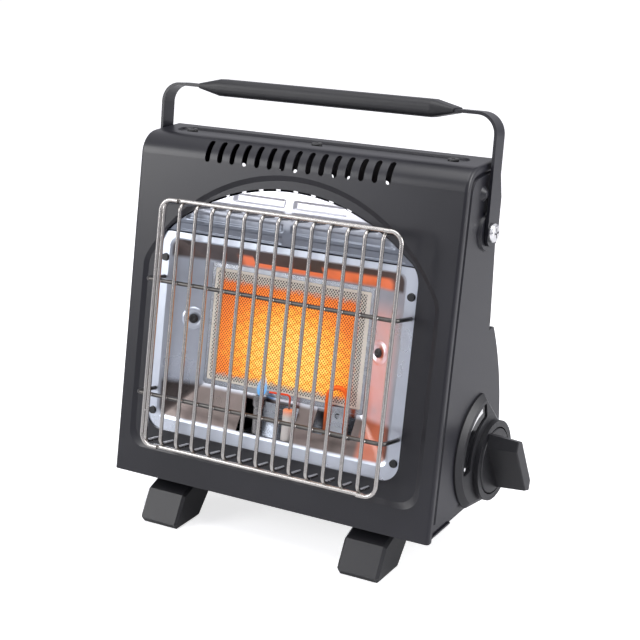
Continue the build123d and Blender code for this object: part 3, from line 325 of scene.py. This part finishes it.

# %% [markdown]
# The reflector pan is the same bright sheet. Its floor and its top wall are darker and browner deep
# inside, and the wall parts beside the plaque glow orange.
# That orange glow is painted light: it stands in for the plaque's light reflected in the sheet.
# The igniter parts stand in the flame, so their upper ends glow as well.
# Colour and glow follow each point's place on the panel, so they fit the pieces without an image
# texture.


# %% Sheet and small parts near the fire
def pan_sheet_painted_glow():
    """The pan's sheet: clean in front, darker and browner deep inside, with a painted orange glow beside
    the plaque for its reflected light.
    """
    made, shader, where = new_material("pan_sheet_painted_glow")
    shader.inputs["Metallic"].default_value = 1.0
    across, up, depth = panel_place(where)
    deep = depth.step(2.9, 3.8)
    floor_part = (1 - up.step(66.0, 71.0)) * deep
    top_part = up.step(152.5, 156.0) * deep
    patches = noise(where, 30, 3)
    clean = patches.step(0.3, 0.7).blend((0.60, 0.64, 0.72, 1), (0.50, 0.54, 0.61, 1))
    dark_deep_tone = patches.step(0.3, 0.7).blend((0.10, 0.085, 0.08, 1), (0.16, 0.13, 0.125, 1))
    feed(shader, "Base Color", floor_part.math("MAXIMUM", top_part).blend(clean, dark_deep_tone))
    # Painted reflection: an orange glow on the top wall and the right wall stands in for the plaque's
    # light reflected in the sheet.
    near_top = top_part * depth.step(6.0, 8.5) * across.step(-44.0, -36.0)
    slot = inside(across, (-30.0, -29.0), (22.0, 24.0)) * (1 - depth.step(10.4, 10.8))
    near_right = inside(across, (60.0, 66.0), (74.0, 88.0)) * (1 - up.step(128.0, 150.0))
    fire = (near_top * (1 - slot)).math("MAXIMUM", near_right * deep * 0.6)
    fire = fire * patches.step(0.15, 0.55)
    feed(shader, "Emission Color", fire.blend((0, 0, 0, 1), (0.80, 0.15, 0.035, 1)))
    shader.inputs["Emission Strength"].default_value = 0.9
    feed(shader, "Roughness", patches * 0.2 + 0.2)
    bump(shader, noise(where, 700, 2), 0.00003, 0.15)
    return made


def fire_lit(name, cold, hot, metallic, low, high, strength):
    """A small part whose upper end, between two heights on the panel, glows in the flame."""
    made, shader, where = new_material(name)
    shader.inputs["Metallic"].default_value = metallic
    height = panel_place(where)[1].step(low, high)
    grain = noise(where, 900, 3)
    feed(shader, "Base Color", height.blend((*cold, 1), (*hot, 1)))
    feed(shader, "Emission Color", (height * grain.step(0.1, 0.6)).blend((0, 0, 0, 1), (*hot, 1)))
    shader.inputs["Emission Strength"].default_value = strength
    feed(shader, "Roughness", grain * 0.2 + 0.3)
    bump(shader, grain, 0.00004, 0.3)
    return made


def hood_sheet():
    """Painted light and shade: bright at the top, where it meets daylight, and darker towards the
    burner.
    """
    made, shader, where = new_material("hood_sheet")
    shader.inputs["Metallic"].default_value = 1.0
    up = panel_place(where)[1]
    cloud = noise(where, 26, 3)
    # Painted light and shade: the sheet's colour runs from dark low down to bright high up.
    painted_top_light = (up + cloud * 6.0).step(182.0, 210.0)
    feed(shader, "Base Color", painted_top_light.blend((0.20, 0.22, 0.26, 1), (0.58, 0.58, 0.63, 1)))
    feed(shader, "Roughness", cloud * 0.12 + 0.24)
    bump(shader, noise(where, 600, 2), 0.00003, 0.12)
    return made


PLUG_COLD, PLUG_HOT = (0.74, 0.70, 0.66), (0.85, 0.26, 0.10)
WIRE_COLD, WIRE_HOT = (0.25, 0.2, 0.18), (0.50, 0.05, 0.02)
LOOP_COLD, LOOP_HOT = (0.22, 0.09, 0.05), (0.62, 0.10, 0.02)
finishes["white_ceramic"] = fire_lit("plug_ceramic", PLUG_COLD, PLUG_HOT, 0.0, 59.0, 66.0, 0.35)
finishes["hood_sheet"] = hood_sheet()
special = {
    "reflector": pan_sheet_painted_glow(),
    "spark_electrode": fire_lit("hot_electrode", WIRE_COLD, WIRE_HOT, 1.0, 66.0, 74.0, 0.55),
    "flame_sensor": fire_lit("hot_sensor", LOOP_COLD, LOOP_HOT, 1.0, 50.0, 80.0, 0.5),
    "pilot_burner": cast_metal("pilot_tube", (0.34, 0.33, 0.33), 0.28),
}
print("parts near the fire", sorted(special))

# %% [markdown]
# Each construction node keeps its mesh and takes the finish that its record names.
# A few nodes near the fire take a finish of their own instead.

# %% Give every construction node its finish
for name, piece in nodes.items():
    piece.data.materials.clear()
    piece.data.materials.append(special.get(name) or finishes[slot_of[name]])
print("finished nodes", len(nodes))

# %% [markdown]
# Above the burner a bright hood closes the arch.
# It is bent like a shallow barrel, and pressed beads stiffen it, with one plain rib down the middle.
# It could be bent from a flat sheet and pressed, but the beads would then need many cuts and blends.
# A grid whose depth at each place is worked out from the barrel and the beads gives it cleanly.
# The helpers for such meshes come first.


# %% Grid helper
def add_mesh(name, verts, faces, material, smooth=True):
    """A new object from points and faces, with its place in its mesh."""
    mesh = bpy.data.meshes.new(name)
    mesh.from_pydata(verts, [], faces)
    mesh.materials.append(material)
    mesh.polygons.foreach_set("use_smooth", [smooth] * len(mesh.polygons))
    mesh.update()
    made = bpy.data.objects.new(name, mesh)
    bpy.context.scene.collection.objects.link(made)
    return made


def grid_faces(columns, rows):
    """Faces of a grid of points stored row by row."""
    out = []
    for j in range(rows - 1):
        for i in range(columns - 1):
            a = j * columns + i
            out.append((a, a + 1, a + columns + 1, a + columns))
    return out


def solidify(piece, thickness):
    """Gives a sheet its thickness for good, to one side."""
    wall = piece.modifiers.new("wall", "SOLIDIFY")
    wall.thickness = thickness
    wall.offset = -1.0
    bake(piece)


def bake(piece):
    """Applies a piece's modifiers to its mesh."""
    graph = bpy.context.evaluated_depsgraph_get()
    done = bpy.data.meshes.new_from_object(piece.evaluated_get(graph))
    piece.modifiers.clear()
    piece.data = done


print("mesh helpers ready")

# %% [markdown]
# The beads stand in four rows, each split by the rib, and their reach grows towards the wider rows.
# Above the barrel's crown the hood runs nearly flat up to the arch, so it shows bright there.
# A hair's width is left to the arch's edge, as on a pressed part that drops into its opening.

# %% The hood with its beads
UNIT_X = -2.5
ARCH_HALF = 96.6
ARCH_SHOULDER, ARCH_TOP = 168.0, 207.6
HOOD_APEX_V, HOOD_APEX_DEPTH = 184.0, 1.2
HOOD_RADIUS_LOW, HOOD_RADIUS_HIGH = 40.0, 150.0
HOOD_LOW = 171.65
BEAD_ROWS = ((199.5, 44.0), (191.5, 66.0), (183.5, 80.0), (175.5, 88.0))
BEAD_HALF = 2.6
BEAD_DEPTH = 0.9
RIB_HALF = 3.2
HOOD_SETBACK = 0.4
HOOD_SHEET = 0.0007
EDGE_HALF_WIDTH = 97.0


def arch_height(u):
    """Height of the arched opening at a place across."""
    rise = ARCH_TOP - ARCH_SHOULDER
    radius = (EDGE_HALF_WIDTH**2 + rise**2) / (2 * rise)
    return ARCH_TOP - radius + math.sqrt(max(radius**2 - (u - UNIT_X) ** 2, 0))


def ramp(value, low, high):
    """Smooth rise from 0 to 1."""
    t = min(max((value - low) / (high - low), 0), 1)
    return t * t * (3 - 2 * t)


def hood_depth(u, v):
    """Depth of the hood behind the panel: a barrel with beads pressed back into it."""
    bend = HOOD_RADIUS_HIGH if v > HOOD_APEX_V else HOOD_RADIUS_LOW
    barrel = HOOD_APEX_DEPTH + bend - math.sqrt(bend**2 - (v - HOOD_APEX_V) ** 2)
    side = abs(u - UNIT_X)
    lift = 0.0
    for level, reach in BEAD_ROWS:
        top = 1 - ramp(abs(v - level), BEAD_HALF - 0.7, BEAD_HALF + 0.3)
        ends = ramp(side, RIB_HALF, RIB_HALF + 1.4) * (1 - ramp(side, reach - 4, reach))
        lift = max(lift, top * ends)
    return barrel + HOOD_SETBACK + BEAD_DEPTH * lift


def make_hood():
    """The hood as a fine grid that follows the arch along its top."""
    columns, rows = 190, 72
    verts = []
    for j in range(rows):
        for i in range(columns):
            u = UNIT_X - ARCH_HALF + 2 * ARCH_HALF * i / (columns - 1)
            top = max(arch_height(u), HOOD_LOW + 0.3)
            v = HOOD_LOW + (top - HOOD_LOW) * j / (rows - 1)
            verts.append(on_panel(u, v, hood_depth(u, v)))
    made = add_mesh("pressed_hood", verts, grid_faces(columns, rows), finishes["hood_sheet"])
    solidify(made, HOOD_SHEET)
    return made


hood = make_hood()
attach(hood, "root")
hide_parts("reflector_hood")
print("hood faces", len(hood.data.polygons))

# %% [markdown]
# Each side wall of the reflector has a round dimple with a dark screw in it, which holds the burner.
# They could be cut into the wall, but the pan's own mesh stays as the construction made it.
# A small profile turned round the wall's own normal makes the dimple, and a second one makes the screw.


# %% Dimples and their screws
def turned(name, profile, centre, axis, material, steps=32):
    """A profile of (radius, height) pairs turned round an axis through a centre, both ends closed."""
    axis = Vector(axis).normalized()
    side = axis.orthogonal().normalized()
    other = axis.cross(side)
    verts = []
    for radius, height in profile:
        for k in range(steps):
            turn = 2 * math.pi * k / steps
            out = side * math.cos(turn) + other * math.sin(turn)
            verts.append(centre + (out * radius + axis * height) * MM)
    faces = []
    for j in range(len(profile) - 1):
        for k in range(steps):
            a, b = j * steps + k, j * steps + (k + 1) % steps
            faces.append((a, b, b + steps, a + steps))
    faces.append(tuple(range(steps - 1, -1, -1)))
    faces.append(tuple(range(len(verts) - steps, len(verts))))
    return add_mesh(name, verts, faces, material)


WALL_LOW_DEPTH, WALL_HIGH_DEPTH = 2.6, 14.0
DIMPLE_LEVEL = 113
DIMPLE_SHARE = 0.66
DIMPLE_RIM = [(8.2, -0.4), (8.0, 0.25), (6.9, 0.95), (5.6, 1.0)]
DIMPLE_PROFILE = DIMPLE_RIM + [(4.6, 0.45), (4.0, 0.2), (0.6, 0.15)]
SCREW_PROFILE = [(3.1, 0.1), (3.1, 1.2), (2.6, 1.9), (1.4, 2.2), (0.5, 1.3)]
up_panel = on_panel(0, 1, 0) - on_panel(0, 0, 0)
for label, outer, inner in (("left", -93.5, -64.5), ("right", 87.0, 60.0)):
    outer_edge = on_panel(outer, DIMPLE_LEVEL, WALL_LOW_DEPTH)
    run = on_panel(inner, DIMPLE_LEVEL, WALL_HIGH_DEPTH) - outer_edge
    spot = outer_edge + run * DIMPLE_SHARE
    normal = run.cross(up_panel)
    if normal.y > 0:
        normal = -normal
    dimple = turned(f"wall_dimple_{label}", DIMPLE_PROFILE, spot, normal, special["reflector"])
    screw = turned(f"burner_screw_{label}", SCREW_PROFILE, spot, normal, finishes["black_screw"])
    for piece, slot in ((dimple, "bright_steel"), (screw, "black_screw")):
        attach(piece, "root")
print("dimples made")

# %% [markdown]
# The guard's wires are joined by resistance welds, which leave a small flattened bead at every crossing.
# They could be modelled one by one, but they repeat in a grid, so Geometry Nodes lay them out.
# The tree makes a line of points for each crossing row and sets one small ball on each point.

# %% Weld beads on the guard
ROD_FIRST, ROD_PITCH, ROD_COUNT = -84.6, 12.6, 14
LEG_LEVELS = (61.6, 139.2)
WELD_DEPTH = -19.2
WELD_RADIUS = 0.0018


def weld_tree(material):
    """Node group that puts a bead on each point of a row of crossings."""
    tree = bpy.data.node_groups.new("weld_beads", "GeometryNodeTree")
    for label, kind, value in (
        ("Count", "NodeSocketInt", ROD_COUNT),
        ("Start", "NodeSocketVector", (0, 0, 0)),
        ("Step", "NodeSocketVector", (0, 0, 0)),
        ("Radius", "NodeSocketFloat", WELD_RADIUS),
    ):
        socket = tree.interface.new_socket(label, in_out="INPUT", socket_type=kind)
        socket.default_value = value
    tree.interface.new_socket("Geometry", in_out="OUTPUT", socket_type="NodeSocketGeometry")
    source = tree.nodes.new("NodeGroupInput")
    line = tree.nodes.new("GeometryNodeMeshLine")
    ball = tree.nodes.new("GeometryNodeMeshIcoSphere")
    ball.inputs["Subdivisions"].default_value = 2
    place = tree.nodes.new("GeometryNodeInstanceOnPoints")
    place.inputs["Scale"].default_value = (1.0, 0.75, 0.75)
    real = tree.nodes.new("GeometryNodeRealizeInstances")
    paint = tree.nodes.new("GeometryNodeSetMaterial")
    paint.inputs["Material"].default_value = material
    out = tree.nodes.new("NodeGroupOutput")
    join = tree.links.new
    join(source.outputs["Count"], line.inputs["Count"])
    join(source.outputs["Start"], line.inputs["Start Location"])
    join(source.outputs["Step"], line.inputs["Offset"])
    join(source.outputs["Radius"], ball.inputs["Radius"])
    join(line.outputs["Mesh"], place.inputs["Points"])
    join(ball.outputs["Mesh"], place.inputs["Instance"])
    join(place.outputs["Instances"], real.inputs["Geometry"])
    join(real.outputs["Geometry"], paint.inputs["Geometry"])
    join(paint.outputs["Geometry"], out.inputs["Geometry"])
    return tree


welds = weld_tree(finishes["bright_wire"])
for row, level in enumerate(LEG_LEVELS):
    holder = add_mesh(f"guard_welds_{row}", [(0, 0, 0)], [], finishes["bright_wire"])
    modifier = holder.modifiers.new("welds", "NODES")
    modifier.node_group = welds
    names = {item.name: item.identifier for item in welds.interface.items_tree if item.in_out == "INPUT"}
    modifier[names["Count"]] = ROD_COUNT
    modifier[names["Start"]] = on_panel(ROD_FIRST, level, WELD_DEPTH)
    modifier[names["Step"]] = Vector((ROD_PITCH * MM, 0, 0))
    modifier[names["Radius"]] = WELD_RADIUS
    bpy.context.view_layer.update()
    bake(holder)
    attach(holder, "root")
    print(holder.name, len(holder.data.polygons))

# %% [markdown]
# A pilot light burns beside the igniter: a small blue cone over the burner tube.
# A volume would show it best, but a thin turned shell is light and reads well from a step away.
# Its shader has a blue glow that grows paler and clearer towards the tip.


# %% Pilot flame
def flame_finish():
    """Blue glow that pales and clears towards the tip."""
    made, shader, where = new_material("blue_flame")
    shader.inputs["Base Color"].default_value = (0.02, 0.05, 0.12, 1)
    height = where.node("ShaderNodeSeparateXYZ", {}, {0: where}, output=2)
    tip = height.step(0.098, 0.112)
    feed(shader, "Emission Color", tip.blend((0.10, 0.45, 0.95, 1), (0.55, 0.75, 0.95, 1)))
    shader.inputs["Emission Strength"].default_value = 0.9
    feed(shader, "Alpha", 0.75 - tip * 0.55)
    return made


FLAME_PROFILE = [(1.2, 0), (2.6, 1.5), (3.4, 4.5), (3.0, 8.0), (1.9, 11.5), (0.7, 14.5), (0.1, 16.0)]
FLAME_FOOT = on_panel(-14, 70.4, 7.6)
FLAME_LEAN = (0.1, 0.25, 1.0)
flame = turned("pilot_flame", FLAME_PROFILE, FLAME_FOOT, FLAME_LEAN, flame_finish())
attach(flame, "root")
print("flame faces", len(flame.data.polygons))

# %% [markdown]
# The glossy strip in the bezel carries two plain printed marks.
# A wedge widens towards more heat, and a dot marks the low end.
# Print could be part of the strip's finish, but thin shapes laid on it keep sharp edges from close by.

# %% Marks on the window strip
FAN_Y, FAN_Z = 80.0, 33.0
MARK_X = 125.76
MARK_THICK = 0.05
WEDGE_OUTER = 37.2
WEDGE_START, WEDGE_END = 106.0, 136.0
DOT_RADIUS, DOT_ANGLE = 35.5, 176
DOT_PROFILE = [(1.3, 0), (1.3, 0.05), (0.5, 0.06)]


def fan_point(radius, angle, x):
    """A point of the fan-shaped strip, by its distance and angle from the fan's centre."""
    turn = math.radians(angle)
    y = FAN_Y + radius * math.cos(turn)
    z = FOOT_HEIGHT + FAN_Z + radius * math.sin(turn)
    return Vector((x, y, z)) * MM


def make_marks(material):
    """The wedge as a band that thins along the fan, and the dot as a turned disc."""
    steps = 24
    verts, faces = [], []
    for k in range(steps + 1):
        share = k / steps
        angle = WEDGE_START + (WEDGE_END - WEDGE_START) * share
        half_width = 1.5 * (1 - share) + 0.15
        for radius in (WEDGE_OUTER - 2 * half_width, WEDGE_OUTER):
            for x in (MARK_X, MARK_X + MARK_THICK):
                verts.append(fan_point(radius, angle, x))
    for k in range(steps):
        a, b = 4 * k, 4 * k + 4
        for p, q in ((0, 1), (1, 3), (3, 2), (2, 0)):
            faces.append((a + p, a + q, b + q, b + p))
    faces.append((0, 2, 3, 1))
    end = 4 * steps
    faces.append((end, end + 1, end + 3, end + 2))
    wedge = add_mesh("heat_wedge", verts, faces, material, smooth=False)
    centre = fan_point(DOT_RADIUS, DOT_ANGLE, MARK_X)
    dot = turned("low_dot", DOT_PROFILE, centre, (1, 0, 0), material, 20)
    for piece in (wedge, dot):
        mesh = bmesh.new()
        mesh.from_mesh(piece.data)
        bmesh.ops.recalc_face_normals(mesh, faces=mesh.faces)
        mesh.to_mesh(piece.data)
        mesh.free()
        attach(piece, "root")


make_marks(coat("white_print", (0.75, 0.75, 0.74), 0.4, 900, 0.00001))
print("marks made")

# %% [markdown]
# The heater stands on a white floor under a white sky, as on a studio sweep.
# The camera sees both as white, and bright metal sees a softer sky that is paler higher up.
# Diffuse light from them stays plain, so the lamps shape the black coat and the floor keeps a shadow.


# %% Floor and world
def ray_kinds(tree):
    """Signals for a ray from the camera, and for one that metal or glass sends on."""
    path = tree.nodes.new("ShaderNodeLightPath")
    seen = Signal(tree, path.outputs["Is Camera Ray"])
    mirror = Signal(tree, path.outputs["Is Glossy Ray"])
    through = Signal(tree, path.outputs["Is Transmission Ray"])
    return seen, mirror + through


def floor_finish():
    """A plain pale floor that the camera sees as white."""
    made = bpy.data.materials.new("studio_floor")
    made.use_nodes = True
    tree = made.node_tree
    shader = tree.nodes["Principled BSDF"]
    shader.inputs["Base Color"].default_value = (0.80, 0.80, 0.80, 1)
    shader.inputs["Roughness"].default_value = 0.9
    shader.inputs["Specular IOR Level"].default_value = 0.0
    seen, sent_on = ray_kinds(tree)
    lifted = sent_on.step(0, 1).blend((0, 0, 0, 1), (0.12, 0.12, 0.12, 1))
    feed(shader, "Emission Color", seen.blend(lifted, (0.72, 0.72, 0.72, 1)))
    shader.inputs["Emission Strength"].default_value = 1.0
    return made


FLOOR_REACH = 14.0
corners = ((-1, -1), (1, -1), (1, 1), (-1, 1))
floor = add_mesh(
    "floor",
    [(x * FLOOR_REACH, y * FLOOR_REACH, 0) for x, y in corners],
    [(0, 1, 2, 3)],
    floor_finish(),
    smooth=False,
)

world = bpy.data.worlds.new("studio")
bpy.context.scene.world = world
world.use_nodes = True
tree = world.node_tree
background = tree.nodes["Background"]
seen, sent_on = ray_kinds(tree)
aim = Signal(tree, tree.nodes.new("ShaderNodeTexCoord").outputs["Generated"])
high = aim.node("ShaderNodeSeparateXYZ", {}, {0: aim}, output=2).step(-0.1, 0.6)
sky = high.blend((0.42, 0.42, 0.46, 1), (0.85, 0.85, 0.90, 1))
shade = (seen + sent_on).step(0, 1).blend((0.34, 0.34, 0.40, 1), sky)
shade = seen.blend(shade, (1.0, 1.0, 1.0, 1))
tree.links.new(shade.socket, background.inputs["Color"])
print("world ready")

# %% [markdown]
# Three large soft lamps: one low at the left front, one at the right and behind, and one overhead.
# Small lamps would leave hard spots on the satin coat, and these show broad gradients.
# The left one stands near the mirror direction of the leaning panel, so it brightens its upper left.


# %% Lamps
def lamp(name, place, aim, size, power):
    """A rectangular soft lamp at a place, turned towards a point."""
    data = bpy.data.lights.new(name, "AREA")
    data.shape = "RECTANGLE"
    data.size, data.size_y = size
    data.energy = power
    made = bpy.data.objects.new(name, data)
    made.location = place
    made.rotation_euler = (Vector(aim) - Vector(place)).to_track_quat("-Z", "Y").to_euler()
    bpy.context.scene.collection.objects.link(made)
    print(name, power, "W")


lamp("left_key", (-1.25, -1.25, 0.80), (0, 0, 0.17), (0.9, 0.9), 15)
lamp("right_fill", (1.5, 0.5, 0.75), (0, 0, 0.15), (0.9, 1.1), 19)
lamp("overhead", (0.0, -0.2, 1.7), (0, 0, 0.15), (1.4, 1.2), 15)

# %% [markdown]
# The camera stands to the right of the heater and looks down on it.
# Its place and turn were fitted to the corners of the panel and the burner.
# Its three axes are given as unit vectors, because they came out of that fit.

# %% Camera
CAMERA_PLACE = Vector((0.4962, -0.77227, 0.45893))
RIGHT = Vector((0.86374, 0.50394, -0.00264))
DOWN = Vector((0.15461, -0.26998, -0.95037))
FORWARD = Vector((-0.47964, 0.82046, -0.3111))
lens_data = bpy.data.cameras.new("photo_camera")
lens_data.sensor_width = 36.0
lens_data.lens = 85.126
camera = bpy.data.objects.new("photo_camera", lens_data)
bpy.context.scene.collection.objects.link(camera)
turn = Matrix((RIGHT, -DOWN, -FORWARD)).transposed()
camera.matrix_world = Matrix.Translation(CAMERA_PLACE) @ turn.to_4x4()
bpy.context.scene.camera = camera
bpy.context.scene.view_settings.view_transform = "Standard"
print("camera at", tuple(camera.location))

# %% [markdown]
# Every dressed piece stays inside the construction model's box, so the dressed model keeps the
# construction model's size.

# %% Finish
print("dressing done")
